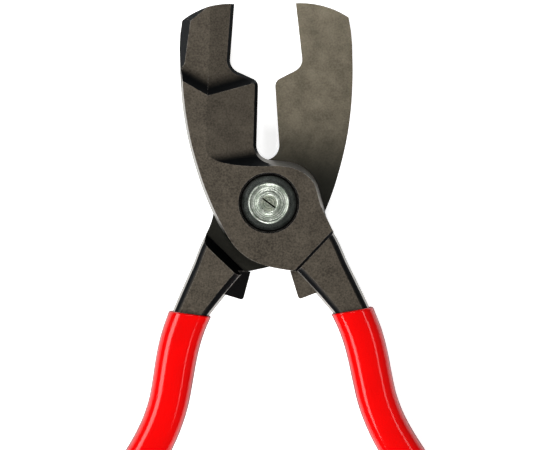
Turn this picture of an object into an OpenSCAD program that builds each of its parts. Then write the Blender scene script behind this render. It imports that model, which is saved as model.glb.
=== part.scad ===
// Two-step cable shears: two forged halves that lap at a bolted pivot, with dipped grips.
//
// Frame: +Z is the pivot axis, and points out of the front face. +Y runs from the pivot to the
// blade tips along the middle of the mouth, and +X points right. The origin is on the pivot
// axis, in the plane of the rear half's outer face, on which the tool lies.
//
// Both halves are the same forging. half_forging() draws it closed, with the shear plane at
// z = 0, its blade leaning left and its handle to the right. The rear half is the same piece
// turned over about Y.

/* [Overall] */
// Pivot axis to the top of the closed blades
head_len = 62.6; // [54:0.2:72]
// Pivot axis to the end of the grips, closed
handle_len = 137.4; // [116:0.2:165]
// Width of the closed head across both plates
head_w = 36.4; // [31:0.2:43]
// Thickness of each half at the joint
plate_t = 7; // [6.4:0.1:8.4]
// Play between the two halves at the shear plane
lap_gap = 0.04; // [0.02:0.01:0.1]
// Angle between the halves as the tool is stored
open_deg = 32; // [10:1:60]

/* [Blades] */
// Height of the step in the cutting edge above the pivot axis
step_y = 36.6; // [32:0.2:42]
// Distance that the first cutting edge stands back at the step
step_back = 9.7; // [6:0.1:11]
// Height of the bottom of the slot above the pivot axis
slot_y = 14.4; // [13:0.1:16]
// Thickness left at the cutting edges
edge_t = 2.8; // [1.8:0.1:3.4]
// Width of the hollow from its ridge to the second cutting edge
hollow_w = 15.2; // [12:0.1:17]
// Depth of the upper hollow below the plate's face
upper_drop = 3.2; // [2:0.1:3.6]
// Radius at the end of the lower hollow
lower_fillet = 8; // [6:0.1:10]
// Radius at the end of the upper hollow
upper_fillet = 10; // [8:0.1:12]

/* [Joint] */
// Diameter of the pivot bolt's shank
shank_d = 10; // [8:0.1:12]
// Radial clearance of the shank in both halves
shank_gap = 0.03; // [0.02:0.01:0.08]
// Diameter of the recess round the bolt's head and round the nut
recess_d = 17.9; // [16:0.1:21]
// Depth of the recess in the front half
head_recess = 3.3; // [2.8:0.1:4]
// Depth of the recess in the rear half
nut_recess = 4.4; // [4.2:0.1:4.8]
// Diameter of the conical spring washer
spring_d = 16.4; // [14:0.1:17]
// Thickness of the conical spring washer
spring_t = 1; // [0.8:0.1:1.2]
// Height of the spring washer's cone
spring_rise = 0.5; // [0.3:0.1:0.8]
// Diameter of the bolt's head
bolt_head_d = 12.7; // [12:0.1:15]
// Thread diameter of the bolt
thread_d = 8; // [6:0.1:8.4]
// Width of the nut across its flats
nut_af = 13; // [12:0.1:15]
// Thickness of the nut
nut_t = 3.1; // [2.6:0.1:3.3]
// Thickness of the washer under the nut
washer_t = 0.8; // [0.6:0.1:1]
// Diameter of the slotted lock screw
screw_d = 4.8; // [4:0.1:5.5]

/* [Handles] */
// Half thickness of the handles inside the grips
core_half_t = 4.75; // [4:0.05:5.5]
// Width of the handles at their waist
waist_w = 10; // [8.5:0.1:12]
// Thickness of the dipped coat
coat_t = 1.1; // [0.8:0.1:1.6]
// Pivot axis to the upper edge of the grips
grip_y = 38.5; // [36:0.5:46]
// Half thickness of the stop lugs
lug_half_t = 3; // [2:0.1:3.5]
// Gap between the stop lugs when the tool is closed
lug_gap = 0.1; // [0.06:0.02:0.3]

/* [Hidden] */

full_open_deg = 60;   // angle between the halves at the end of the opening travel
far = 60;             // reach of a cutter past the part
kx = head_w / 36.4;   // plate outline per drawn outline, sideways and below the pivot
ky = head_len / 62.6; // the same above the pivot

steel_colour = [0.27, 0.25, 0.23];
zinc_colour = [0.74, 0.77, 0.74];
brass_colour = [0.72, 0.70, 0.52];
grip_colour = [0.86, 0.02, 0.02];

// ---- Curves ----

function unit(v) = v / norm(v);
function turned(p, a) = [p.x * cos(a) - p.y * sin(a), p.x * sin(a) + p.y * cos(a)];
function arc(c, r, a0, a1, n) = [for (i = [0:n]) c + r * [cos(a0 + (a1 - a0) * i / n),
                                                          sin(a0 + (a1 - a0) * i / n)]];

// The corner p between a and b, rounded to radius r.
function round_corner(a, p, b, r, n) =
    let (u = unit(a - p), v = unit(b - p), half = acos(u * v) / 2, c = p + unit(u + v) * r / sin(half),
         s = p + u * r / tan(half) - c, e = p + v * r / tan(half) - c,
         a0 = atan2(s.y, s.x), d = atan2(e.y, e.x) - a0)
    arc(c, r, a0, a0 + (d > 180 ? d - 360 : d < -180 ? d + 360 : d), n);

// A smooth curve through the points P, with n steps between neighbours.
function spline(P, n) =
    let (m = len(P) - 1, Q = concat([2 * P[0] - P[1]], P, [2 * P[m] - P[m - 1]]))
    concat([for (i = [0:m - 1], k = [0:n - 1]) between(Q[i], Q[i + 1], Q[i + 2], Q[i + 3], k / n)], [P[m]]);
function between(a, b, c, d, t) =
    b + 0.5 * t * (c - a + t * (2 * a - 5 * b + 4 * c - d + t * (3 * (b - c) + d - a)));

// ---- Outline of the blade and plate, clockwise from the tip ----

tip = [7.8 * kx, head_len - 1.3];
back_corner = [-9.4 * kx, head_len - 1.5];
edge_slope = 0.3395;                                   // of the second cutting edge, sideways per unit up
slot_corner = [0.3, slot_y];
step_corner = [slot_corner.x + edge_slope * (step_y - slot_y), step_y];
recess_corner = step_corner + step_back * [-0.744, 0.668];
plate_corner = [15.95 * kx, slot_corner.y - 0.455 * (15.95 * kx - slot_corner.x)];
plate_side = [15.9 * kx, -1];

cutting_edge = concat([tip],
                      round_corner(tip, recess_corner, step_corner, 4, 10),
                      round_corner(recess_corner, step_corner, slot_corner, 2.5, 8),
                      round_corner(step_corner, slot_corner, plate_corner, 4.5, 12));
plate_top = round_corner(slot_corner, plate_corner, plate_side, 11, 14);
right_side = spline([plate_side, [15.7 * kx, -6 * kx], [15.6 * kx, -10.5 * kx], [16.5 * kx, -15.5 * kx],
                     [18 * kx, -21 * kx]], 4);
spine = spline([for (p = [[3.6, -23.2], [-0.6, -21.1], [-6.2, -18.1], [-10.9, -14.2], [-14.3, -9.2],
                          [-16.3, -3], [-17.5, 4], [-18.2, 13], [-18.05, 24], [-16.9, 34],
                          [-14.9, 43.7], [-12.2, 53.4]]) [p.x * kx, p.y * (p.y > 0 ? ky : kx)]], 4);
blade_top = let (a = back_corner, b = [0, head_len], c = tip,
                 u = b - a, v = c - a, d = 2 * (u.x * v.y - u.y * v.x),
                 o = a + [v.y * (u * u) - u.y * (v * v), u.x * (v * v) - v.x * (u * u)] / d,
                 a0 = atan2(a.y - o.y, a.x - o.x), a1 = atan2(c.y - o.y, c.x - o.x))
            arc(o, norm(a - o), a0, a1, 16);
back_round = round_corner(spine[len(spine) - 1], back_corner, blade_top[2], 1.6, 5);

head_outline = concat(cutting_edge, plate_top, right_side, spine, back_round,
                      [for (i = [3:15]) blade_top[i]]);

// ---- Solids from rings of points ----

// Rings of equal length, joined in order and closed at both ends.
module stack(rings) {
    n = len(rings[0]);
    m = len(rings);
    polyhedron(points = [for (r = rings, p = r) p],
               faces = concat([[for (i = [0:n - 1]) i]],
                              [[for (i = [n - 1:-1:0]) (m - 1) * n + i]],
                              [for (k = [0:m - 2], i = [0:n - 1], h = [0, 1])
                                  let (j = (i + 1) % n, a = k * n, b = a + n)
                                  h == 0 ? [a + i, b + i, b + j] : [a + i, b + j, a + j]]),
               convexity = 8);
}

// ---- Shoulder: the line at which the handle grows to its full thickness ----

shoulder_dir = -60.6;   // direction of the shoulder line's normal, closed
shoulder_gap = 1.2;     // clearance of the other half's plate
shoulder_n = [cos(shoulder_dir), sin(shoulder_dir)];
lap_curve = [for (p = spine) if (p.y > -21.5 * kx) [-p.x, p.y]];   // the other half's edge, closed
shoulder_d = max([for (a = [0:4:full_open_deg], p = lap_curve) turned(p, -a) * shoulder_n]) + shoulder_gap;
step_d = shoulder_d + 0.4;
root_front = plate_t - 0.5;    // handle height above the shear plane at the shoulder
root_back = plate_t - 1.2;     // and below it
shoulder_lean = 3;             // of the shoulder's wall, over its height

// ---- Handle ----
// Centre line with [x, y, half width, height in front, height behind].

dy = shoulder_d - 19.8;                   // the handle moves down with the shoulder
reach = handle_len - coat_t - 38.5 - dy;  // of the centre line below the grip's edge
function root(x, y, w, f) = [x * kx, y - dy, w * kx, core_half_t + (root_front - core_half_t) * f,
                             core_half_t + (root_back - core_half_t) * f];
function grown(x, share, w) = [x, -38.5 - dy - reach * share, w + (waist_w - 10) / 2, core_half_t, core_half_t];
centre_line = [root(6.6, -13.5, 9.2, 1.15), root(8.9, -18.6, 8.2, 1), root(10.8, -25, 7, 0.66),
               root(12.6, -31, 6.15, 0.33), grown(14.6, 0, 5.25), grown(15.4, 0.077, 5.15),
               grown(15.2, 0.148, 5.1), grown(14.5, 0.22, 5.05), grown(14, 0.292, 5), grown(14.5, 0.369, 5),
               grown(16, 0.446, 5.05), grown(18.7, 0.547, 5.2), grown(21.3, 0.65, 5.4),
               grown(22.7, 0.752, 5.5), grown(22.6, 0.855, 5.3), grown(21.6, 0.938, 4.7),
               grown(20.9, 0.982, 3.7) - [0, 0, 0, 0.7, 0.7], grown(20.6, 1, 2.6) - [0, 0, 0, 1.7, 1.7]];

side_lean = 0.55;   // of the handle's side walls, from the parting line to the corner
corner_w = 1.75;    // width of the corner between side and face, which starts at a crisp edge
corner_h = 1.8;     // and its height
corner_deg = 60;    // turn of the corner

// A quarter of the handle's section, from the parting line to the face, for a half width w and
// a height h: the side, then the corner.
function quarter(w, h, grow) =
    let (cw = min(corner_w + grow / 2, 0.6 * w), ch = min(corner_h + grow, 0.8 * h), e = cos(corner_deg))
    concat([[w, min(0.3, 0.1 * h)]],
           [for (k = [0:4]) let (a = k * corner_deg / 4)
               [w - min(side_lean, 0.1 * w) - cw * (1 - cos(a)) / (1 - e),
                h - ch * (1 - sin(a) / sin(corner_deg))]]);

// The handle's solid, grown by a coat on all sides.
module handle_bar(coat, first) {
    last = len(centre_line) - 1;
    line = spline([for (i = [first:last]) centre_line[i] + (i == last ? [0, -coat, 0, 0, 0] : [0, 0, 0, 0, 0])
                                          + coat * [0, 0, 1, 1, 1]], 3);
    m = len(line) - 1;
    stack([for (i = [0:m])
        let (c = line[i], a = line[max(0, i - 1)], b = line[min(m, i + 1)],
             t = unit([b.x - a.x, b.y - a.y]), s = [-t.y, t.x],
             up = quarter(c[2], c[3], coat), down = quarter(c[2], c[4], coat),
             section = concat(up, [for (k = [5:-1:0]) [-up[k].x, up[k].y]],
                              [for (q = down) [-q.x, -q.y]], [for (k = [5:-1:0]) [down[k].x, -down[k].y]]))
        [for (q = section) [c.x + s.x * q.x, c.y + s.y * q.x, q.y]]]);
}

// ---- The forging ----

// A half space whose edge runs through p, square to the direction a in plan, leaning by lean.
module beyond(p, a, z, lean, down = 0) {
    translate([p.x, p.y, z]) rotate([0, 0, a]) rotate([0, lean, 0])
        translate([0, -far, -down]) cube([2 * far, 2 * far, 2 * far]);
}

// A hollow's cutter: a floor that ends in a quarter round, with the ridge line as its y axis.
module hollow(fillet, end_y) {
    rotate([90, 0, 90]) translate([0, 0, -far]) linear_extrude(2 * far)
        polygon(concat(arc([end_y, fillet], fillet, 180, 270, 14),
                       [[far + 20, 0], [far + 20, 20], [end_y - fillet, 20]]));
}

ridge_dir = atan(edge_slope);
ridge_at = slot_corner - hollow_w * [cos(ridge_dir), -sin(ridge_dir)];
hollow_fall = atan((plate_t - edge_t) / (hollow_w - 0.8));
lower_end = run(lower_fillet, 3) - 4.4;         // of the lower hollow's floor, up the ridge
lower_end_deg = 10;                             // turn of that end
upper_v = (step_y - slot_y) / cos(ridge_dir) - 5.1;   // point of the upper hollow's end on the ridge
right_end_deg = 17;                             // turn of that end, right of the ridge
left_end_deg = -25;                             // and left of it

// Length over which a fillet rises by a depth
function run(fillet, depth) = sqrt(fillet * fillet - (fillet - depth) * (fillet - depth));

module ridge_frame(z) {
    translate([ridge_at.x, ridge_at.y, z]) rotate([0, 0, -ridge_dir]) children();
}

module hollows() {
    end = run(upper_fillet, upper_drop);
    ridge_frame(plate_t) rotate([0, hollow_fall, 0]) translate([0, lower_end, 0])
        rotate([0, 0, lower_end_deg]) hollow(lower_fillet, 0);
    ridge_frame(plate_t - upper_drop) translate([0, upper_v, 0]) {
        intersection() {
            rotate([0, hollow_fall, 0]) rotate([0, 0, right_end_deg]) hollow(upper_fillet, end);
            translate([0, -far, -far]) cube([far, 2 * far, 2 * far]);
        }
        intersection() {
            rotate([0, 0, left_end_deg]) hollow(upper_fillet, end);
            translate([0.01 - far, -far, -1]) cube([far, 2 * far, far]);
        }
    }
}

// The bevels on the outer corner of the blade's tip.
module tip_bevels() {
    beyond([-13.3 * kx, head_len - 17.2], 155, plate_t - upper_drop, 54);
    beyond([-6.6 * kx, head_len - 2.6], 112, plate_t - upper_drop, 54);
}

module lug() {
    y0 = -21.75 * kx;
    y1 = y0 - 8.95;
    translate([0, 0, -lug_half_t]) linear_extrude(2 * lug_half_t)
        polygon(concat([[lug_gap / 2, y0], [7, y0 - 1]], [[9, y1 + 0.5]],
                       arc([lug_gap / 2 + 0.8, y1 + 0.8], 0.8, 270, 180, 5)));
}

// The plane of the shoulder, from which the handle's full thickness runs outward. Behind the
// shear plane its wall leans away from the other half's plate.
module shoulder_side() {
    rotate([0, 0, shoulder_dir]) rotate([90, 0, 0]) translate([0, 0, -far]) linear_extrude(2 * far)
        polygon([[-far, far], [shoulder_d, far], [shoulder_d, 0],
                 [shoulder_d + shoulder_lean, -root_back - 1], [-far, -root_back - 1]]);
}

module half_forging() {
    difference() {
        union() {
            difference() {
                linear_extrude(plate_t) polygon(head_outline);
                beyond(step_d * shoulder_n, shoulder_dir, 0, 0, far);
                hollows();
                tip_bevels();
            }
            difference() {
                handle_bar(0, 0);
                shoulder_side();
            }
            lug();
        }
        translate([0, 0, -1]) cylinder(d = shank_d + 2 * shank_gap, h = plate_t + 2, $fn = 96);
    }
}

module recess(depth) {
    translate([0, 0, plate_t - depth]) cylinder(d = recess_d, h = depth + 1, $fn = 96);
    translate([0, 0, plate_t - 0.3]) cylinder(d1 = recess_d, d2 = recess_d + 1.2, h = 0.6, $fn = 96);
}

// ---- Places of the two halves ----

module place_front() { translate([0, 0, plate_t + lap_gap]) rotate([0, 0, open_deg / 2]) children(); }
module place_rear() { translate([0, 0, plate_t]) rotate([0, 0, -open_deg / 2]) rotate([0, 180, 0]) children(); }

module front_half() {
    color(steel_colour) place_front() difference() { half_forging(); recess(head_recess); }
}
module rear_half() {
    color(steel_colour) place_rear() difference() { half_forging(); recess(nut_recess); }
}

dip_deg = -7.1;   // slope of the grip's edge, where the dip's surface stood

module grip() {
    difference() {
        handle_bar(coat_t, 3);
        handle_bar(0, 2);
        translate([14.2, -grip_y - dy, 0]) rotate([0, 0, dip_deg]) translate([-far, 0, -far])
            cube([2 * far, far, 2 * far]);
    }
}
module front_grip() { color(grip_colour) place_front() grip(); }
module rear_grip() { color(grip_colour) place_rear() grip(); }

// ---- Pivot ----

top_z = 2 * plate_t + lap_gap;           // outer face of the front half
seat_z = top_z - head_recess;                      // floor of the front recess
head_z = seat_z + spring_t + spring_rise;          // underside of the bolt's head
head_t = top_z + 0.3 - head_z;
thread_top = nut_recess + 0.5;
bolt_end = nut_recess - washer_t - nut_t;
screw_len = 6;
screw_bottom = head_z + head_t - screw_len;

module pivot_bolt() {
    color(zinc_colour) difference() {
        rotate_extrude($fn = 96) polygon([[0, bolt_end], [thread_d / 2 - 0.4, bolt_end],
            [thread_d / 2, bolt_end + 0.4], [thread_d / 2, thread_top], [shank_d / 2 - 0.3, thread_top],
            [shank_d / 2, thread_top + 0.3], [shank_d / 2, head_z], [bolt_head_d / 2, head_z],
            [bolt_head_d / 2, head_z + head_t - 0.4], [bolt_head_d / 2 - 0.4, head_z + head_t], [0, head_z + head_t]]);
        translate([0, 0, head_z + head_t - 0.4]) difference() {
            cylinder(d = bolt_head_d - 1.6, h = 1, $fn = 96);
            translate([0, 0, -1]) cylinder(d = screw_d + 2.3, h = 3, $fn = 96);
        }
        translate([0, 0, screw_bottom]) cylinder(d = screw_d, h = head_t + 5, $fn = 64);
    }
}
module lock_screw() {
    slot_w = 0.5;
    color(brass_colour) difference() {
        translate([0, 0, screw_bottom]) cylinder(d = screw_d, h = screw_len - 0.1, $fn = 64);
        translate([0, 0, screw_bottom + screw_len]) rotate([0, 0, -37])
            cube([screw_d + 1, slot_w, 2], center = true);
    }
}

module spring_washer() {
    r0 = shank_d / 2 + 0.15;
    r1 = spring_d / 2;
    color(zinc_colour) rotate_extrude($fn = 96)
        polygon([[r0, seat_z + spring_rise], [r1, seat_z], [r1, seat_z + spring_t], [r0, head_z]]);
}

module nut_washer() {
    color(zinc_colour) translate([0, 0, nut_recess - washer_t]) difference() {
        cylinder(d = recess_d - 2.4, h = washer_t, $fn = 72);
        translate([0, 0, -1]) cylinder(d = thread_d + 0.4, h = 3, $fn = 72);
    }
}

module pivot_nut() {
    corner_r = nut_af / 2 / cos(30);
    color(zinc_colour) translate([0, 0, bolt_end]) difference() {
        intersection() {
            cylinder(r = corner_r, h = nut_t, $fn = 6);
            cylinder(r1 = nut_af / 2 - 0.1, r2 = nut_af / 2 + 5, h = nut_t, $fn = 72);
        }
        translate([0, 0, -1]) cylinder(d = thread_d, h = nut_t + 2, $fn = 72);
    }
}

front_half();
rear_half();
front_grip();
rear_grip();
pivot_bolt();
lock_screw();
spring_washer();
nut_washer();
pivot_nut();
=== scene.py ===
import bpy
import bmesh
from math import radians, sin, cos, pi, hypot
from mathutils import Vector, Matrix


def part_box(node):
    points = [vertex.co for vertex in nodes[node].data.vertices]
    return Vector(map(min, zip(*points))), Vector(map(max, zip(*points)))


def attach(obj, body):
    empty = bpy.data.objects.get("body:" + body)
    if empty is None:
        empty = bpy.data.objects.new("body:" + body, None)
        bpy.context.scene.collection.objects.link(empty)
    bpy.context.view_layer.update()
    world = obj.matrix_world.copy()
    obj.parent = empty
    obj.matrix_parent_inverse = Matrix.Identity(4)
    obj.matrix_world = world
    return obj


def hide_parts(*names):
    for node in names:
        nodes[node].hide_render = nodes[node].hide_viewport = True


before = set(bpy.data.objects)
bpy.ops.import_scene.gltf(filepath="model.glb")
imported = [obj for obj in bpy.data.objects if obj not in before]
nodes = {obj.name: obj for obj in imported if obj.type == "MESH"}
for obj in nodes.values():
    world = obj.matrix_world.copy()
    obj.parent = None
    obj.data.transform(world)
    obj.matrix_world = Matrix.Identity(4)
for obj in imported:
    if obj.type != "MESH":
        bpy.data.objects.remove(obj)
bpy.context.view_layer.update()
mm = 0.001


# camera, floor and light
view = {
    "lean": 1.12,            # degrees, the tool's top leans left
    "distance": 0.70,        # from the front face
    "lens": 151.2,
    "front": 14 * mm,        # height of the front face
    "right": 1.85 * mm,      # of the pivot, across the frame
    "up": -6.67 * mm,
    "exposure": 0.0,
}
studio = {
    "floorColour": (0.80, 0.80, 0.80),
    "floorGlow": 0.70,       # the white sweep is lit from below as well
    "floorHalf": 1.6,        # half of the floor's side
    "floorDrop": 0.1 * mm,   # below the tool's rear face
    "skyColour": (1.0, 1.0, 1.0),
    "skyStrength": 0.20,
    # name, place from the pivot, width, length, power
    "lamps": (
        ("keyLamp", (-0.08, -0.70, 0.58), 0.50, 0.50, 10.0),
        ("leftStrip", (-0.57, 0.05, 0.61), 1.10, 0.32, 8.6),
        ("rightLamp", (0.46, 0.06, 0.73), 0.90, 0.10, 1.4),
        ("topLamp", (-0.02, 0.26, 0.80), 0.18, 0.18, 0.9),
    ),
}


def setCamera():
    lean = radians(view["lean"])
    right = Vector((cos(lean), -sin(lean), 0))
    up = Vector((sin(lean), cos(lean), 0))
    place = right * view["right"] + up * view["up"]
    place.z = view["front"] + view["distance"]
    data = bpy.data.cameras.new("camera")
    data.lens = view["lens"]
    data.sensor_width = 36
    data.clip_start = 0.01
    data.clip_end = 50
    camera = bpy.data.objects.new("camera", data)
    camera.location = place
    camera.rotation_euler = (0, 0, -lean)
    bpy.context.scene.collection.objects.link(camera)
    bpy.context.scene.camera = camera


def link(name, bm):
    mesh = bpy.data.meshes.new(name)
    bm.to_mesh(mesh)
    bm.free()
    piece = bpy.data.objects.new(name, mesh)
    bpy.context.scene.collection.objects.link(piece)
    return piece


def smooth(piece):
    for poly in piece.data.polygons:
        poly.use_smooth = True


def setStudio():
    bm = bmesh.new()
    bmesh.ops.create_grid(bm, x_segments=1, y_segments=1, size=studio["floorHalf"],
                          matrix=Matrix.Translation((0, 0, -studio["floorDrop"])))
    floor = link("floor", bm)
    mat = bpy.data.materials.new("paleFloor")
    mat.use_nodes = True
    shader = mat.node_tree.nodes["Principled BSDF"]
    shader.inputs["Base Color"].default_value = (*studio["floorColour"], 1)
    shader.inputs["Roughness"].default_value = 0.9
    shader.inputs["Specular IOR Level"].default_value = 0.1
    shader.inputs["Emission Color"].default_value = (1, 1, 1, 1)
    shader.inputs["Emission Strength"].default_value = studio["floorGlow"]
    floor.data.materials.append(mat)

    for name, place, width, length, power in studio["lamps"]:
        lamp = bpy.data.lights.new(name, "AREA")
        lamp.shape = "ELLIPSE"
        lamp.size = width
        lamp.size_y = length
        lamp.energy = power
        stand = bpy.data.objects.new(name, lamp)
        stand.location = place
        stand.rotation_euler = (Vector(place).to_track_quat("Z", "Y")).to_euler()
        bpy.context.scene.collection.objects.link(stand)

    world = bpy.data.worlds.new("sky")
    world.use_nodes = True
    back = world.node_tree.nodes["Background"]
    back.inputs["Color"].default_value = (*studio["skyColour"], 1)
    back.inputs["Strength"].default_value = studio["skyStrength"]
    bpy.context.scene.world = world
    bpy.context.scene.view_settings.view_transform = "Standard"
    bpy.context.scene.view_settings.exposure = view["exposure"]


setCamera()
setStudio()
print("camera and light set")


# surface effects that the materials share
def newGroup(name, inputs, outputs):
    group = bpy.data.node_groups.new(name, "ShaderNodeTree")
    for label, kind, value in inputs:
        socket = group.interface.new_socket(name=label, in_out="INPUT", socket_type=kind)
        if value is not None:
            socket.default_value = value
    for label, kind in outputs:
        group.interface.new_socket(name=label, in_out="OUTPUT", socket_type=kind)
    return group, group.nodes.new("NodeGroupInput"), group.nodes.new("NodeGroupOutput")


def add(tree, kind, **values):
    made = tree.nodes.new(kind)
    for key, value in values.items():
        setattr(made, key, value)
    return made


def join(tree, start, end):
    tree.links.new(start, end)


def math(tree, operation, first, second=None, clamp=False):
    made = add(tree, "ShaderNodeMath", operation=operation, use_clamp=clamp)
    for socket, value in zip(made.inputs, (first, second)):
        if value is None:
            continue
        if isinstance(value, (int, float)):
            socket.default_value = value
        else:
            join(tree, value, socket)
    return made.outputs[0]


def spread(tree, value, low, high, toLow=0.0, toHigh=1.0, smooth=True):
    made = add(tree, "ShaderNodeMapRange", interpolation_type="SMOOTHSTEP" if smooth else "LINEAR")
    join(tree, value, made.inputs["Value"])
    ends = (("From Min", low), ("From Max", high), ("To Min", toLow), ("To Max", toHigh))
    for label, number in ends:
        made.inputs[label].default_value = number
    return made.outputs["Result"]


def blendColour(tree, share, first, second):
    made = add(tree, "ShaderNodeMix", data_type="RGBA", blend_type="MIX")
    for socket, value in ((made.inputs[0], share), (made.inputs[6], first), (made.inputs[7], second)):
        if isinstance(value, (int, float)):
            socket.default_value = value
        elif isinstance(value, tuple):
            socket.default_value = (*value, 1)
        else:
            join(tree, value, socket)
    return made.outputs[2]


def makeForgeGrain():
    # scale left by the forging die: broad patches, grain, and the peel that gives the bump
    group, into, out = newGroup("forgeGrain",
        [("Vector", "NodeSocketVector", None), ("Patch Scale", "NodeSocketFloat", 180.0),
         ("Grain Scale", "NodeSocketFloat", 1500.0), ("Peel Scale", "NodeSocketFloat", 700.0)],
        [("Patches", "NodeSocketFloat"), ("Grain", "NodeSocketFloat"), ("Peel", "NodeSocketFloat")])
    for label, detail, rough, output in (("Patch Scale", 3, 0.55, "Patches"),
                                         ("Grain Scale", 2, 0.6, "Grain"),
                                         ("Peel Scale", 2, 0.5, "Peel")):
        noise = add(group, "ShaderNodeTexNoise")
        noise.inputs["Detail"].default_value = detail
        noise.inputs["Roughness"].default_value = rough
        join(group, into.outputs["Vector"], noise.inputs["Vector"])
        join(group, into.outputs[label], noise.inputs["Scale"])
        join(group, spread(group, noise.outputs["Fac"], 0.3, 0.7, smooth=False), out.inputs[output])
    return group


def makeEdgeWear():
    # how near a crisp edge a point is, broken up by noise
    group, into, out = newGroup("edgeWear",
        [("Vector", "NodeSocketVector", None), ("Radius", "NodeSocketFloat", 0.0004),
         ("Breakup Scale", "NodeSocketFloat", 900.0)],
        [("Wear", "NodeSocketFloat")])
    soft = add(group, "ShaderNodeBevel", samples=6)
    join(group, into.outputs["Radius"], soft.inputs["Radius"])
    flat = add(group, "ShaderNodeNewGeometry")
    dot = add(group, "ShaderNodeVectorMath", operation="DOT_PRODUCT")
    join(group, soft.outputs["Normal"], dot.inputs[0])
    join(group, flat.outputs["Normal"], dot.inputs[1])
    near = spread(group, dot.outputs["Value"], 0.995, 0.93)
    noise = add(group, "ShaderNodeTexNoise")
    noise.inputs["Detail"].default_value = 3
    join(group, into.outputs["Vector"], noise.inputs["Vector"])
    join(group, into.outputs["Breakup Scale"], noise.inputs["Scale"])
    broken = spread(group, noise.outputs["Fac"], 0.35, 0.65)
    join(group, math(group, "MULTIPLY", near, broken, True), out.inputs["Wear"])
    return group


def makeTurnedRings():
    # fine concentric grooves about the pivot, left by the lathe
    group, into, out = newGroup("turnedRings",
        [("Vector", "NodeSocketVector", None), ("Pitch", "NodeSocketFloat", 0.00028)],
        [("Groove", "NodeSocketFloat")])
    split = add(group, "ShaderNodeSeparateXYZ")
    join(group, into.outputs["Vector"], split.inputs[0])
    xx = math(group, "MULTIPLY", split.outputs["X"], split.outputs["X"])
    yy = math(group, "MULTIPLY", split.outputs["Y"], split.outputs["Y"])
    radius = math(group, "SQRT", math(group, "ADD", xx, yy))
    turns = math(group, "DIVIDE", radius, into.outputs["Pitch"])
    rings = add(group, "ShaderNodeTexNoise", noise_dimensions="1D")
    rings.inputs["Scale"].default_value = 1.0
    rings.inputs["Detail"].default_value = 2
    join(group, turns, rings.inputs["W"])
    join(group, rings.outputs["Fac"], out.inputs["Groove"])
    return group


steepness = {
    # upward part of a face's normal
    "flat": 0.975,               # from here a face counts as flat
    "wallBelow": (0.40, 0.28),
    "wallAbove": (0.09, 0.14),
}


def makeFlatness():
    # Flat is 1 on faces that lie flat, which keep the steel's own colour; Wall is 1 on the steep
    # drafted walls, which get a painted reflection of the pale floor; slopes and fillets get painted
    # shade
    group, into, out = newGroup("flatness",
        [("Normal", "NodeSocketVector", None), ("Slope", "NodeSocketFloat", 0.80)],
        [("Flat", "NodeSocketFloat"), ("Wall", "NodeSocketFloat")])
    split = add(group, "ShaderNodeSeparateXYZ")
    join(group, into.outputs["Normal"], split.inputs[0])
    level = math(group, "ABSOLUTE", split.outputs["Z"])
    made = add(group, "ShaderNodeMapRange", interpolation_type="SMOOTHSTEP")
    join(group, level, made.inputs["Value"])
    join(group, into.outputs["Slope"], made.inputs["From Min"])
    made.inputs["From Max"].default_value = steepness["flat"]
    join(group, made.outputs["Result"], out.inputs["Flat"])
    below = spread(group, level, *steepness["wallBelow"])
    above = spread(group, level, *steepness["wallAbove"])
    join(group, math(group, "MULTIPLY", below, above), out.inputs["Wall"])
    return group


flatness = makeFlatness()
forgeGrain = makeForgeGrain()
edgeWear = makeEdgeWear()
turnedRings = makeTurnedRings()


# materials
def newMaterial(name):
    mat = bpy.data.materials.new(name)
    mat.use_nodes = True
    tree = mat.node_tree
    place = add(tree, "ShaderNodeTexCoord").outputs["Object"]
    return mat, tree, tree.nodes["Principled BSDF"], place


def flatMask(tree, slope):
    made = add(tree, "ShaderNodeGroup")
    made.node_tree = flatness
    join(tree, add(tree, "ShaderNodeTexCoord").outputs["Normal"], made.inputs["Normal"])
    made.inputs["Slope"].default_value = slope
    return made.outputs["Flat"], made.outputs["Wall"]


def useGroup(tree, group, place, **values):
    made = add(tree, "ShaderNodeGroup")
    made.node_tree = group
    join(tree, place, made.inputs["Vector"])
    for label, number in values.items():
        made.inputs[label.replace("_", " ")].default_value = number
    return made


def bump(tree, shader, height, distance):
    made = add(tree, "ShaderNodeBump")
    made.inputs["Strength"].default_value = 1.0
    made.inputs["Distance"].default_value = distance
    join(tree, height, made.inputs["Height"])
    join(tree, made.outputs["Normal"], shader.inputs["Normal"])


steelShine = 0.15            # specular level of the scale on the steel
blackSteelLook = {
    "dark": (0.030, 0.0255, 0.020),
    "light": (0.090, 0.0765, 0.059),
    "patchy": 0.35,                    # share of broad patches, the rest being grain
    # painted reflection: the steep drafted walls are painted pale, as if reflecting the floor
    "wall": (0.30, 0.29, 0.27),
    "slopeShade": (0.0055, 0.006, 0.0065),  # painted shade, near black, on slopes and in the fillets
    "slope": 0.84,
    "worn": (0.30, 0.28, 0.25),
    "rubbed": 0.5,                     # share of the worn colour at an edge
    "metallic": 0.85,
    "grazing": (0.62, 0.62, 0.62),
    "roughness": (0.40, 0.52),
    "peel": 0.022 * mm,
}
lapSteelLook = {
    "patchy": 0.6,
    "dark": (0.070, 0.061, 0.044),
    "light": (0.170, 0.148, 0.108),
    # painted shade on the lapped face near the pivot
    "pivotShade": (0.016, 0.016, 0.013),
    "fade": (5 * mm, 31 * mm),         # from the pivot up the blade
    "unshaded": 0.03,                     # share of the steel's own colour left under the painted shade at the pivot
    "metallic": 0.85,
    "grazing": (0.75, 0.75, 0.75),
    "roughness": (0.30, 0.40),
    "peel": 0.003 * mm,
}
# painted shade: the bolt's recess and the gap round its head are painted near black
recessShadeLook = {
    "patchy": 0.5,
    "dark": (0.004, 0.004, 0.004),
    "light": (0.010, 0.009, 0.008),
    "wall": (0.004, 0.004, 0.004),
    "slopeShade": (0.004, 0.004, 0.004),
    "slope": 0.80,
    "worn": (0.16, 0.15, 0.13),
    "rubbed": 0.5,
    "metallic": 0.85,
    "grazing": (0.5, 0.5, 0.5),
    "roughness": (0.35, 0.50),
    "peel": 0.006 * mm,
}
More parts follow.
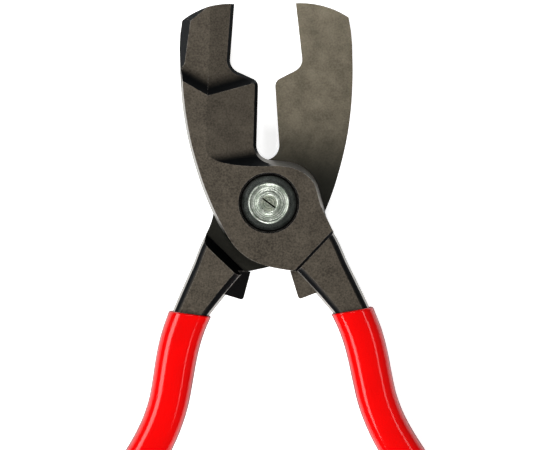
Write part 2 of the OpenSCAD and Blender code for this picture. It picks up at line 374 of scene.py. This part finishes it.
redDipLook = {
    "colour": (0.50, 0.0, 0.0),
    "deep": (0.44, 0.0, 0.0),
    "side": (0.10, 0.0, 0.0),   # painted shade: the coat is painted deeper red round its sides
    "sideDull": 0.75,
    "turn": (0.02, 0.60),       # upward part of the normal, from the sides to the front
    "roughness": 0.11,
    "bend": 1.33,               # index of refraction
    "shine": 0.42,              # specular level
    "peel": 0.016 * mm,
}
zincLook = {
    "silver": (0.70, 0.73, 0.66),
    "green": (0.26, 0.31, 0.24),
    "shadow": (0.05, 0.06, 0.05),
    "pale": (0.56, 0.58, 0.46),
    "slotShadeBelow": 0.08 * mm,  # painted shade starts this far below the top of the screw
    "slotShadeFade": 0.25 * mm,
    # colour of the painted shade in the screw's slot
    "slotShade": (0.004, 0.004, 0.004),
    "roughness": (0.26, 0.42),
    "groove": 0.03 * mm,
}
turning = {
    "pitch": 0.30 * mm,
    "shade": 0.65,           # share of shadow in the grooves
    "fleckFrom": (0.50, 0.85),
    "fleck": 0.7,
}
springLook = {
    "silver": (0.07, 0.076, 0.07),
    "green": (0.035, 0.04, 0.035),
    "shadow": (0.012, 0.013, 0.012),
    "roughness": (0.38, 0.52),
    "groove": 0.02 * mm,
}


def makeBlackSteel(name, look, worn=True):
    mat, tree, shader, place = newMaterial(name)
    grain = useGroup(tree, forgeGrain, place, Patch_Scale=160.0, Grain_Scale=1900.0, Peel_Scale=620.0)
    patchy = look["patchy"]
    mottled = math(tree, "ADD", math(tree, "MULTIPLY", grain.outputs["Patches"], patchy),
                   math(tree, "MULTIPLY", grain.outputs["Grain"], 1 - patchy))
    colour = blendColour(tree, mottled, look["dark"], look["light"])
    if worn:
        # painted shade on slopes and fillets and a painted reflection on steep walls, by the tilt of
        # each face
        flat, wall = flatMask(tree, look["slope"])
        upright = blendColour(tree, wall, look["slopeShade"], look["wall"])
        colour = blendColour(tree, flat, upright, colour)
        wear = useGroup(tree, edgeWear, place, Radius=0.35 * mm, Breakup_Scale=1100.0)
        rubbed = math(tree, "MULTIPLY", wear.outputs["Wear"], look["rubbed"])
        colour = blendColour(tree, rubbed, colour, look["worn"])
    else:
        # painted shade: the lapped face is painted darker towards the pivot
        colour = blendColour(tree, lapFade(tree, place, look), look["pivotShade"], colour)
    join(tree, colour, shader.inputs["Base Color"])
    shader.inputs["Metallic"].default_value = look["metallic"]
    shader.inputs["Specular Tint"].default_value = (*look["grazing"], 1)
    shader.inputs["Specular IOR Level"].default_value = steelShine
    low, high = look["roughness"]
    roughness = spread(tree, grain.outputs["Grain"], 0, 1, low, high, False)
    join(tree, roughness, shader.inputs["Roughness"])
    height = math(tree, "ADD", math(tree, "MULTIPLY", grain.outputs["Peel"], 0.8),
                  math(tree, "MULTIPLY", grain.outputs["Grain"], 0.2))
    bump(tree, shader, height, look["peel"])
    return mat


def lapFade(tree, place, look):
    # painted shade: the lapped faces are painted darker towards the pivot, where the other half's
    # plate shades them
    split = add(tree, "ShaderNodeSeparateXYZ")
    join(tree, place, split.inputs[0])
    low, high = look["fade"]
    return spread(tree, split.outputs["Y"], low, high, look["unshaded"], 1.0)


def makeRedDip():
    mat, tree, shader, place = newMaterial("redDip")
    grain = useGroup(tree, forgeGrain, place, Patch_Scale=90.0, Grain_Scale=900.0, Peel_Scale=330.0)
    colour = blendColour(tree, grain.outputs["Patches"], redDipLook["colour"], redDipLook["deep"])
    split = add(tree, "ShaderNodeSeparateXYZ")
    join(tree, add(tree, "ShaderNodeTexCoord").outputs["Normal"], split.inputs[0])
    low, high = redDipLook["turn"]
    front = spread(tree, math(tree, "ABSOLUTE", split.outputs["Z"]), low, high)
    # painted shade: the grip's sides, by the tilt of their normal, are painted deep red
    colour = blendColour(tree, front, redDipLook["side"], colour)
    join(tree, colour, shader.inputs["Base Color"])
    shader.inputs["IOR"].default_value = redDipLook["bend"]
    shader.inputs["Specular IOR Level"].default_value = redDipLook["shine"]
    rough = redDipLook["roughness"]
    gloss = spread(tree, grain.outputs["Grain"], 0, 1, rough * 0.85, rough * 1.25, False)
    dull = math(tree, "MULTIPLY", math(tree, "SUBTRACT", 1.0, front), redDipLook["sideDull"])
    join(tree, math(tree, "MAXIMUM", gloss, dull), shader.inputs["Roughness"])
    bump(tree, shader, grain.outputs["Peel"], redDipLook["peel"])
    return mat


def makeZinc(name, look, tint=None, shadowBelow=None):
    mat, tree, shader, place = newMaterial(name)
    grain = useGroup(tree, forgeGrain, place, Patch_Scale=420.0, Grain_Scale=2600.0, Peel_Scale=900.0)
    rings = useGroup(tree, turnedRings, place, Pitch=turning["pitch"])
    colour = blendColour(tree, grain.outputs["Patches"], tint or look["silver"], look["green"])
    groove = spread(tree, rings.outputs["Groove"], 0.35, 0.62)
    dull = math(tree, "MULTIPLY", math(tree, "SUBTRACT", 1.0, groove), turning["shade"])
    colour = blendColour(tree, dull, colour, look["shadow"])
    dark = spread(tree, grain.outputs["Grain"], *turning["fleckFrom"])
    flecks = math(tree, "MULTIPLY", dark, turning["fleck"])
    colour = blendColour(tree, flecks, colour, look["shadow"])
    if shadowBelow:                                     # painted shade in the screw's slot
        split = add(tree, "ShaderNodeSeparateXYZ")
        join(tree, place, split.inputs[0])
        unshaded = spread(tree, split.outputs["Z"], shadowBelow - look["slotShadeFade"], shadowBelow)
        colour = blendColour(tree, unshaded, look["slotShade"], colour)
    join(tree, colour, shader.inputs["Base Color"])
    shader.inputs["Metallic"].default_value = 1.0
    low, high = look["roughness"]
    roughness = spread(tree, grain.outputs["Grain"], 0, 1, low, high, False)
    join(tree, roughness, shader.inputs["Roughness"])
    bump(tree, shader, rings.outputs["Groove"], look["groove"])
    return mat


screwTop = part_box("lock_screw")[1][2]
blackSteel = makeBlackSteel("blackSteel", blackSteelLook)
lapSteel = makeBlackSteel("lapSteel", lapSteelLook, worn=False)
redDip = makeRedDip()
zinc = makeZinc("zincPlate", zincLook)
paleZinc = makeZinc("paleZincPlate", zincLook, tint=zincLook["pale"],
                    shadowBelow=screwTop - zincLook["slotShadeBelow"])
springGrey = makeZinc("springGrey", springLook)
recessShade = makeBlackSteel("recessShade", recessShadeLook)
print("materials made")


# the two forged halves
forging = {
    "plate": 7.0 * mm,        # thickness of each half at the joint
    "lap": 0.04 * mm,         # play between them
    "halfAngle": 16.0,        # degrees, of each half from closed
    "tip": (7.8 * mm, 61.3 * mm),
    "spineDraft": 0.9 * mm,   # lean of the outer walls, from the lap to the face
    "spineInner": (-14.3 * mm, -11.3 * mm),    # right of these are the ridge and the hollows
    "spineTop": 42 * mm,      # the first of the two holds from the pivot up to here
    "spineRound": 11 * mm,    # nothing leans this near the pivot
    "spineFade": (-14 * mm, -2 * mm),
    "leastLean": 0.15,        # share of the lean kept below the pivot
    "plateDraft": 14.0,       # degrees, of the wall over the plate
    "sideDraft": 8.5,         # degrees, of the plate's right side
    "sideFrom": (10 * mm, 8 * mm, 2 * mm),     # right of the first, between the two heights
    "facet": (0.80 * mm, 1.0 * mm),    # width and height of the dark facet along the cutting edges
    "slotTop": 18.0 * mm,     # the facet turns into the plate's draft between these heights
    "slotEnd": 13.0 * mm,
    "land": 0.05 * mm,        # the draft starts this far outside the ground edge
    "facetLand": 0.02 * mm,
    "runOut": 0.1 * mm,       # further out where the draft runs out
    "fadeFrom": -5.0 * mm,    # the side's draft runs out between these heights
    "fadeTo": -11.5 * mm,
    "shoulder": -60.6,        # degrees, direction of the line where the handle begins
    "shoulderFall": 0.80 * mm,
    "lugFall": 3.6 * mm,      # slope of the stop lug's rear face
    "lugWidth": 6 * mm,
    "lug": (-2.9 * mm, -31 * mm, -21.5 * mm),  # behind this, between the two heights
    "softEdge": 0.14 * mm,
    "hiddenEdge": 0.08 * mm,
    "recess": 9.3 * mm,       # radius round the bolt within which deep faces get painted shade
    "recessDepth": 0.4 * mm,  # deeper than this it is painted black as shade
    "boltRound": (5.5 * mm, 9.8 * mm),         # no bevel within, and a narrow one up to here
}


def closedFrame(node):
    # takes the half to the frame that both forgings share: closed, lap at z = 0, face up
    half = radians(forging["halfAngle"])
    drop = forging["plate"]
    if node == "front_half":
        return Matrix.Rotation(-half, 4, "Z") @ Matrix.Translation((0, 0, -drop - forging["lap"]))
    return (Matrix.Rotation(pi, 4, "Y") @ Matrix.Rotation(half, 4, "Z")
            @ Matrix.Translation((0, 0, -drop)))


def copyNode(name):
    bm = bmesh.new()
    bm.from_mesh(nodes[name].data)
    bm.transform(nodes[name].matrix_world)
    bmesh.ops.remove_doubles(bm, verts=bm.verts, dist=0.002 * mm)
    for side in ((1, 0.02, 0), (0.02, 1, 0)):           # no face may close round the pivot's hole
        cut = bmesh.ops.bisect_plane(bm, geom=bm.verts[:] + bm.edges[:] + bm.faces[:],
                                     plane_co=(0, 0, 0), plane_no=side, dist=0.001 * mm)
        for part in cut["geom_cut"]:
            if isinstance(part, bmesh.types.BMEdge):
                part.seam = True
    bmesh.ops.dissolve_limit(bm, angle_limit=radians(0.4), verts=bm.verts, edges=bm.edges,
                             delimit={"SEAM"})
    return bm


def share(value, start, end):
    return min(1, max(0, (value - start) / (end - start)))


def leanSpine(bm):
    # the outer wall of blade and plate leans in from the lap to the face
    bm.normal_update()
    top = forging["plate"]
    moves = []
    for v in bm.verts:
        x, y, z = v.co
        if z < 0.05 * mm or hypot(x, y) < forging["spineRound"] or x > 0:
            continue
        out = sum((f.normal for f in v.link_faces if abs(f.normal.z) < 0.02), Vector())
        if out.length < 0.5:
            continue
        out.normalize()
        blade, shank = forging["spineInner"]
        inner = blade if 0 < y < forging["spineTop"] else shank
        if x < inner and out.x < 0.2:
            kept = max(forging["leastLean"], share(y, *forging["spineFade"]))
            moves.append((v, out * (-forging["spineDraft"] * kept * z / top)))
    for v, move in moves:
        v.co += move


def lapOutline(bm):
    # the ground edge, from the blade's tip round the mouth and over the plate to its right side,
    # with the height of the wall above each point
    bm.normal_update()
    tip = Vector(forging["tip"])
    onLap = [v for v in bm.verts if abs(v.co.z) < 0.01 * mm]
    here = min(onLap, key=lambda v: (v.co.xy - tip).length)
    path, last = [], None
    while here.co.y > forging["fadeTo"] - 1 * mm and len(path) < 400:
        above = [e.other_vert(here).co.z for e in here.link_edges
                 if (e.other_vert(here).co.xy - here.co.xy).length < 0.05 * mm]
        if not path or (here.co - path[-1][0]).length > 0.02 * mm:
            path.append((here.co.copy(), max(above + [forging["facet"][1]])))
        for e in here.link_edges:
            there = e.other_vert(here)
            normals = [f.normal for f in e.link_faces]
            edge = any(n.z < -0.99 for n in normals) and any(abs(n.z) < 0.1 for n in normals)
            onward = last or there.co.y < here.co.y and there.co.x < here.co.x
            if edge and there is not last and onward:
                last, here = here, there
                break
        else:
            break
    return path


def draftCutter(bm):
    # what the facet and the draft take off: a ribbon along the ground edge, leaning in to the face
    path = lapOutline(bm)
    before = path[0][0] + (path[0][0] - path[1][0]).normalized() * 2 * mm
    path.insert(0, (before, path[0][1]))
    wide, tall = forging["facet"]
    right, upper, lower = forging["sideFrom"]
    ribbon = bmesh.new()
    rings = []
    for i, (p, height) in enumerate(path):
        along = path[min(i + 1, len(path) - 1)][0] - path[max(i - 1, 0)][0]
        out = Vector((-along.y, along.x, 0)).normalized()
        side = share(p.y, upper, lower) if p.x > right else 0
        run = share(p.y, forging["fadeTo"], forging["fadeFrom"])
        lean = radians(forging["plateDraft"] * (1 - side) + forging["sideDraft"] * side) * run
        land = forging["land"] + (1 - run) * forging["runOut"]
        slope = sin(lean) / cos(lean)
        low, high, reach = -0.6 * mm, 7.6 * mm, (0.3 + 2.7 * run) * mm
        plate = [(low, land - low * slope), (high, land - high * slope), (high, reach), (low, reach)]
        foot, top = height - tall, height + 1.5 * mm
        start = forging["facetLand"]
        far = start - (top - foot) * wide / tall
        facet = [(foot, start), (top, far), (top, reach), (foot, reach)]
        turn = share(p.y, forging["slotTop"], forging["slotEnd"])
        turn = turn * turn * (3 - 2 * turn)
        ring = []
        for (z0, o0), (z1, o1) in zip(facet, plate):
            z, o = z0 + (z1 - z0) * turn, o0 + (o1 - o0) * turn
            ring.append(ribbon.verts.new((p.x + out.x * o, p.y + out.y * o, z)))
        rings.append(ring)
    for first, second in zip(rings, rings[1:]):
        for k in range(4):
            ribbon.faces.new((first[k], first[(k + 1) % 4], second[(k + 1) % 4], second[k]))
    ribbon.faces.new(rings[0])
    ribbon.faces.new(rings[-1])
    bmesh.ops.recalc_face_normals(ribbon, faces=ribbon.faces)
    return ribbon


def cutWith(bm, cutter):
    body, tool = link("body", bm), link("tool", cutter)
    cut = body.modifiers.new("cut", "BOOLEAN")
    cut.operation = "DIFFERENCE"
    cut.solver = "EXACT"
    cut.object = tool
    shaped = body.evaluated_get(bpy.context.evaluated_depsgraph_get())
    result = bmesh.new()
    result.from_mesh(shaped.to_mesh())
    shaped.to_mesh_clear()
    for spare in (body, tool):
        mesh = spare.data
        bpy.data.objects.remove(spare)
        bpy.data.meshes.remove(mesh)
    bmesh.ops.remove_doubles(result, verts=result.verts, dist=0.002 * mm)
    bmesh.ops.dissolve_degenerate(result, edges=result.edges, dist=0.001 * mm)
    return result


def shapeShoulderAndLug(bm):
    turn = radians(forging["shoulder"])
    across = Vector((cos(turn), sin(turn), 0))
    face = [v for v in bm.verts if abs(v.co.z - forging["plate"]) < 0.02 * mm and v.co.y < 0]
    edge = max(v.co.dot(across) for v in face)
    for v in face:
        if v.co.dot(across) > edge - 0.05 * mm:         # the plate's face steps down to the handle
            v.co -= across * forging["shoulderFall"]
    width = forging["lugWidth"]
    behind, low, high = forging["lug"]
    for v in bm.verts:
        x, y, z = v.co
        if z < behind and x < width and low < y < high:
            v.co.z += forging["lugFall"] * (width - x) / width


def markEdges(bm):
    # bevel width of each crisp edge, as a share of the widest
    bm.normal_update()
    layer = bm.edges.layers.float.new("bevel_weight_edge")
    bare, narrow = forging["boltRound"]
    for e in bm.edges:
        if len(e.link_faces) != 2 or e.calc_face_angle(0) < radians(20):
            continue
        if min(e.calc_length(), 1) < 0.02 * mm:
            continue
        mid = (e.verts[0].co + e.verts[1].co) / 2
        r = hypot(mid.x, mid.y)
        hidden = abs(mid.z) < 0.05 * mm or r < narrow
        width = forging["hiddenEdge" if hidden else "softEdge"]
        e[layer] = 0 if r < bare else width / forging["softEdge"]


def makeHalf(node, name):
    bm = copyNode(node)
    toForging = closedFrame(node)
    bm.transform(toForging)
    leanSpine(bm)
    bm = cutWith(bm, draftCutter(bm))
    shapeShoulderAndLug(bm)
    markEdges(bm)
    for f in bm.faces:
        mid = f.calc_center_median()
        if f.normal.z < -0.99 and abs(mid.z) < 0.05 * mm:
            f.material_index = 1                        # the ground face that laps on the other half
        elif (hypot(mid.x, mid.y) < forging["recess"]
              and mid.z < forging["plate"] - forging["recessDepth"]):
            # painted shade in the recess round the bolt
            f.material_index = 2
    bm.transform(toForging.inverted())
    piece = link(name, bm)
    bevel = piece.modifiers.new("softened", "BEVEL")
    bevel.limit_method = "WEIGHT"
    bevel.width = forging["softEdge"]
    bevel.segments = 2
    bevel.use_clamp_overlap = True
    bevel.miter_outer = "MITER_SHARP"
    flat = piece.modifiers.new("flatFaces", "WEIGHTED_NORMAL")
    flat.keep_sharp = True
    flat.weight = 80
    smooth(piece)
    piece.data.set_sharp_from_angle(angle=radians(28))
    for mat in (blackSteel, lapSteel, recessShade):
        piece.data.materials.append(mat)
    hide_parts(node)
    return piece


frontForging = makeHalf("front_half", "frontForging")
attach(frontForging, "front")
rearForging = makeHalf("rear_half", "rearForging")
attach(rearForging, "rear")
print("halves made")


# the dipped grips
grip = {
    "coat": 1.1 * mm,
    "around": 48,             # points of a section
    "along": 40,              # sections
    "squareness": 2.6,        # 2 is an ellipse
    "boreSquareness": 3.0,
    "boreRings": 8,
    "boreEnd": 1.5 * mm,      # the bore's last ring draws in by this much
    "least": 0.6 * mm,        # no ring is narrower than twice this
    "crowding": 0.62,         # how the sections crowd towards the rounded end
    "closed": 0.5 * mm,       # the last section stands this far above the end
    "straight": 22 * mm,      # the rim's slope fades out over this length
    "drain": 6 * mm,          # and the bead over this
    "sample": (0.4 * mm, 2.5 * mm, 4 * mm, 5 * mm),    # clear of the end, and of the rim
    "dip": -7.1,              # degrees, slope of the rim, where the dip's surface stood
    "rim": 0.55 * mm,         # radius of the rim
    "bead": 0.12 * mm,        # the coat is a little thicker where it drained to the rim
}


def sliceNode(bm, y):
    # how far the grip reaches in x and z, in a cut across it
    part = bm.copy()
    cut = bmesh.ops.bisect_plane(part, geom=part.verts[:] + part.edges[:] + part.faces[:],
                                 plane_co=(0, y, 0), plane_no=(0, 1, 0), dist=0.0001 * mm)
    points = [v.co.copy() for v in cut["geom_cut"] if isinstance(v, bmesh.types.BMVert)]
    part.free()
    xs, zs = [p.x for p in points], [p.z for p in points]
    middle = (min(xs) + max(xs)) / 2, (min(zs) + max(zs)) / 2
    half = (max(xs) - min(xs)) / 2, (max(zs) - min(zs)) / 2
    return middle[0], half[0], middle[1], half[1]


def section(y, middle, halfWidth, halfHeight, squareness, slant):
    centre, rise = middle
    power = 2 / squareness
    points = []
    for k in range(grip["around"]):
        a = 2 * pi * k / grip["around"]
        across = abs(cos(a)) ** power * (1 if cos(a) > 0 else -1) * halfWidth
        up = abs(sin(a)) ** power * (1 if sin(a) > 0 else -1) * halfHeight
        points.append(Vector((centre + across, y + slant * across, rise + up)))
    return points


def makeGrip(node, name):
    source = bmesh.new()
    source.from_mesh(nodes[node].data)
    source.transform(nodes[node].matrix_world)
    toForging = closedFrame("front_half" if node == "front_grip" else "rear_half")
    source.transform(toForging)
    ys = [v.co.y for v in source.verts]
    bottom = min(ys)
    slope = sin(radians(grip["dip"])) / cos(radians(grip["dip"]))
    clearEnd, clearRim, upper, lower = grip["sample"]
    halfTop = sliceNode(source, max(ys) - upper)[1]
    top = max(ys) + slope * halfTop                     # height of the rim on the centre line
    span = top - bottom
    coat, rim = grip["coat"], grip["rim"]

    def sizes(y):
        # the node's own section, held near its two ends
        x, w, z, h = sliceNode(source, min(max(y, bottom + clearEnd), top - clearRim))
        if y > top - clearRim:                          # carry the upper end straight on
            x2 = sliceNode(source, top - lower)[0]
            x += (x - x2) / (lower - clearRim) * (y - (top - clearRim))
        return x, w, z, h

    def slantAt(y):
        return slope * (1 - share(top - y, 0, grip["straight"]))

    rings = []
    count = grip["along"]
    for k in range(count + 1):                          # outside, from the rim down
        t = k / count
        y = top - rim - (span - rim - grip["closed"]) * (1 - cos(t * pi * 0.5)) ** grip["crowding"]
        x, w, z, h = sizes(y)
        near = 1 - share(top - y, 0, grip["drain"])
        bead = grip["bead"] * near * near
        rings.append((y, (x, z), w + bead, h + bead, grip["squareness"], slantAt(y)))
    x, w, z, h = sizes(top)
    lip = []
    for a in (75, 50, 25, 0):                           # round the rim
        grow = grip["bead"] - rim * (1 - cos(radians(90 - a)))
        y = top - rim + rim * sin(radians(90 - a))
        lip.append((y, (x, z), w + grow, h + grow, grip["squareness"], slope))
    loose = coat - 0.1 * mm
    lip.append((top, (x, z), w - loose, h - loose, grip["boreSquareness"], slope))
    inside = []
    for k in range(1, grip["boreRings"] + 1):           # inside, against the steel
        y = top - span * 0.97 * k / grip["boreRings"]
        x, w, z, h = sizes(y)
        squeeze = coat if k < grip["boreRings"] else coat + grip["boreEnd"]
        w, h = max(w - squeeze, grip["least"]), max(h - squeeze, grip["least"])
        inside.append((y, (x, z), w, h, grip["boreSquareness"], slantAt(y)))
    order = inside[::-1] + lip[::-1] + rings

    bm = bmesh.new()
    made = bmesh.ops.create_circle(bm, segments=grip["around"], radius=1 * mm, cap_ends=False)
    ring = made["verts"]
    first = ring
    for v, co in zip(ring, section(*order[0])):
        v.co = co
    edges = bm.edges[:]
    for values in order[1:]:
        grown = bmesh.ops.extrude_edge_only(bm, edges=edges)["geom"]
        fresh = [g for g in grown if isinstance(g, bmesh.types.BMVert)]
        edges = [g for g in grown
                 if isinstance(g, bmesh.types.BMEdge) and all(v in fresh for v in g.verts)]
        ordered = [next(e.other_vert(v) for e in v.link_edges if e.other_vert(v) in fresh)
                   for v in ring]
        for v, co in zip(ordered, section(*values)):
            v.co = co
        ring = ordered
    for loop in (first, ring):
        cap = bm.faces.new(loop)
        bmesh.ops.poke(bm, faces=[cap])
    bmesh.ops.recalc_face_normals(bm, faces=bm.faces)
    source.free()
    bm.transform(toForging.inverted())
    piece = link(name, bm)
    smooth(piece)
    piece.data.materials.append(redDip)
    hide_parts(node)
    return piece


frontDip = makeGrip("front_grip", "frontDip")
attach(frontDip, "front")
rearDip = makeGrip("rear_grip", "rearDip")
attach(rearDip, "rear")
print("grips made")


# the pivot
bolt = {
    # radius and height of the head's profile, down from its top face, from the screw outward
    "head": ((2.42, 1.2), (2.42, 0.12), (2.55, 0.02), (3.15, 0.0), (3.38, 0.08), (3.50, 0.30),
             (3.70, 0.42), (4.10, 0.36), (4.30, 0.46), (4.75, 0.40), (4.95, 0.47), (5.30, 0.40),
             (5.48, 0.30), (5.62, 0.08), (5.78, 0.0), (5.98, 0.0), (6.14, 0.06), (6.24, 0.20),
             (6.30, 0.50), (6.32, 1.9), (6.20, 2.1), (5.0, 2.1)),
    "shank": 5.0 * mm,
    "thread": 4.0 * mm,
    "bore": 2.42 * mm,        # takes the lock screw
    "neckRise": 0.5 * mm,     # the thread starts this far above the nut's washer
    "neckChamfer": 0.3 * mm,
    "endChamfer": 0.4 * mm,
    "turns": 96,
    "crease": 40,             # degrees, from which an edge stays sharp
    "softEdge": 0.08 * mm,    # bevel of the screw, washer and nut
}


def makeBolt():
    low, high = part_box("pivot_bolt")
    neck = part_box("nut_washer")[1][2] + bolt["neckRise"]
    bm = bmesh.new()
    profile = [(r * mm, high[2] - drop * mm) for r, drop in bolt["head"]]
    shank, thread = bolt["shank"], bolt["thread"]
    step, chamfer = bolt["neckChamfer"], bolt["endChamfer"]
    profile += [(shank, neck + step), (shank - step, neck), (thread, neck),
                (thread, low[2] + chamfer), (thread - chamfer, low[2]), (0, low[2])]
    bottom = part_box("lock_screw")[0][2]
    profile = [(0, bottom), (bolt["bore"], bottom)] + profile
    verts = [bm.verts.new((r, 0, z)) for r, z in profile]
    edges = [bm.edges.new(pair) for pair in zip(verts, verts[1:])]
    bmesh.ops.spin(bm, geom=verts + edges, cent=(0, 0, 0), axis=(0, 0, 1), angle=2 * pi,
                   steps=bolt["turns"], use_merge=True, use_duplicate=False)
    bmesh.ops.remove_doubles(bm, verts=bm.verts, dist=0.0005 * mm)
    bmesh.ops.recalc_face_normals(bm, faces=bm.faces)
    piece = link("pivotBolt", bm)
    smooth(piece)
    piece.data.set_sharp_from_angle(angle=radians(bolt["crease"]))
    piece.data.materials.append(zinc)
    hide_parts("pivot_bolt")
    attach(piece, "front")


makeBolt()
small = (("lock_screw", paleZinc), ("spring_washer", springGrey), ("nut_washer", zinc),
         ("pivot_nut", zinc))
for name, mat in small:
    part = nodes[name]
    part.data.materials.clear()
    part.data.materials.append(mat)
    if name != "spring_washer":
        soft = part.modifiers.new("softened", "BEVEL")
        soft.width = bolt["softEdge"]
        soft.segments = 2
        soft.limit_method = "ANGLE"
        soft.angle_limit = radians(30)
print("pivot made")
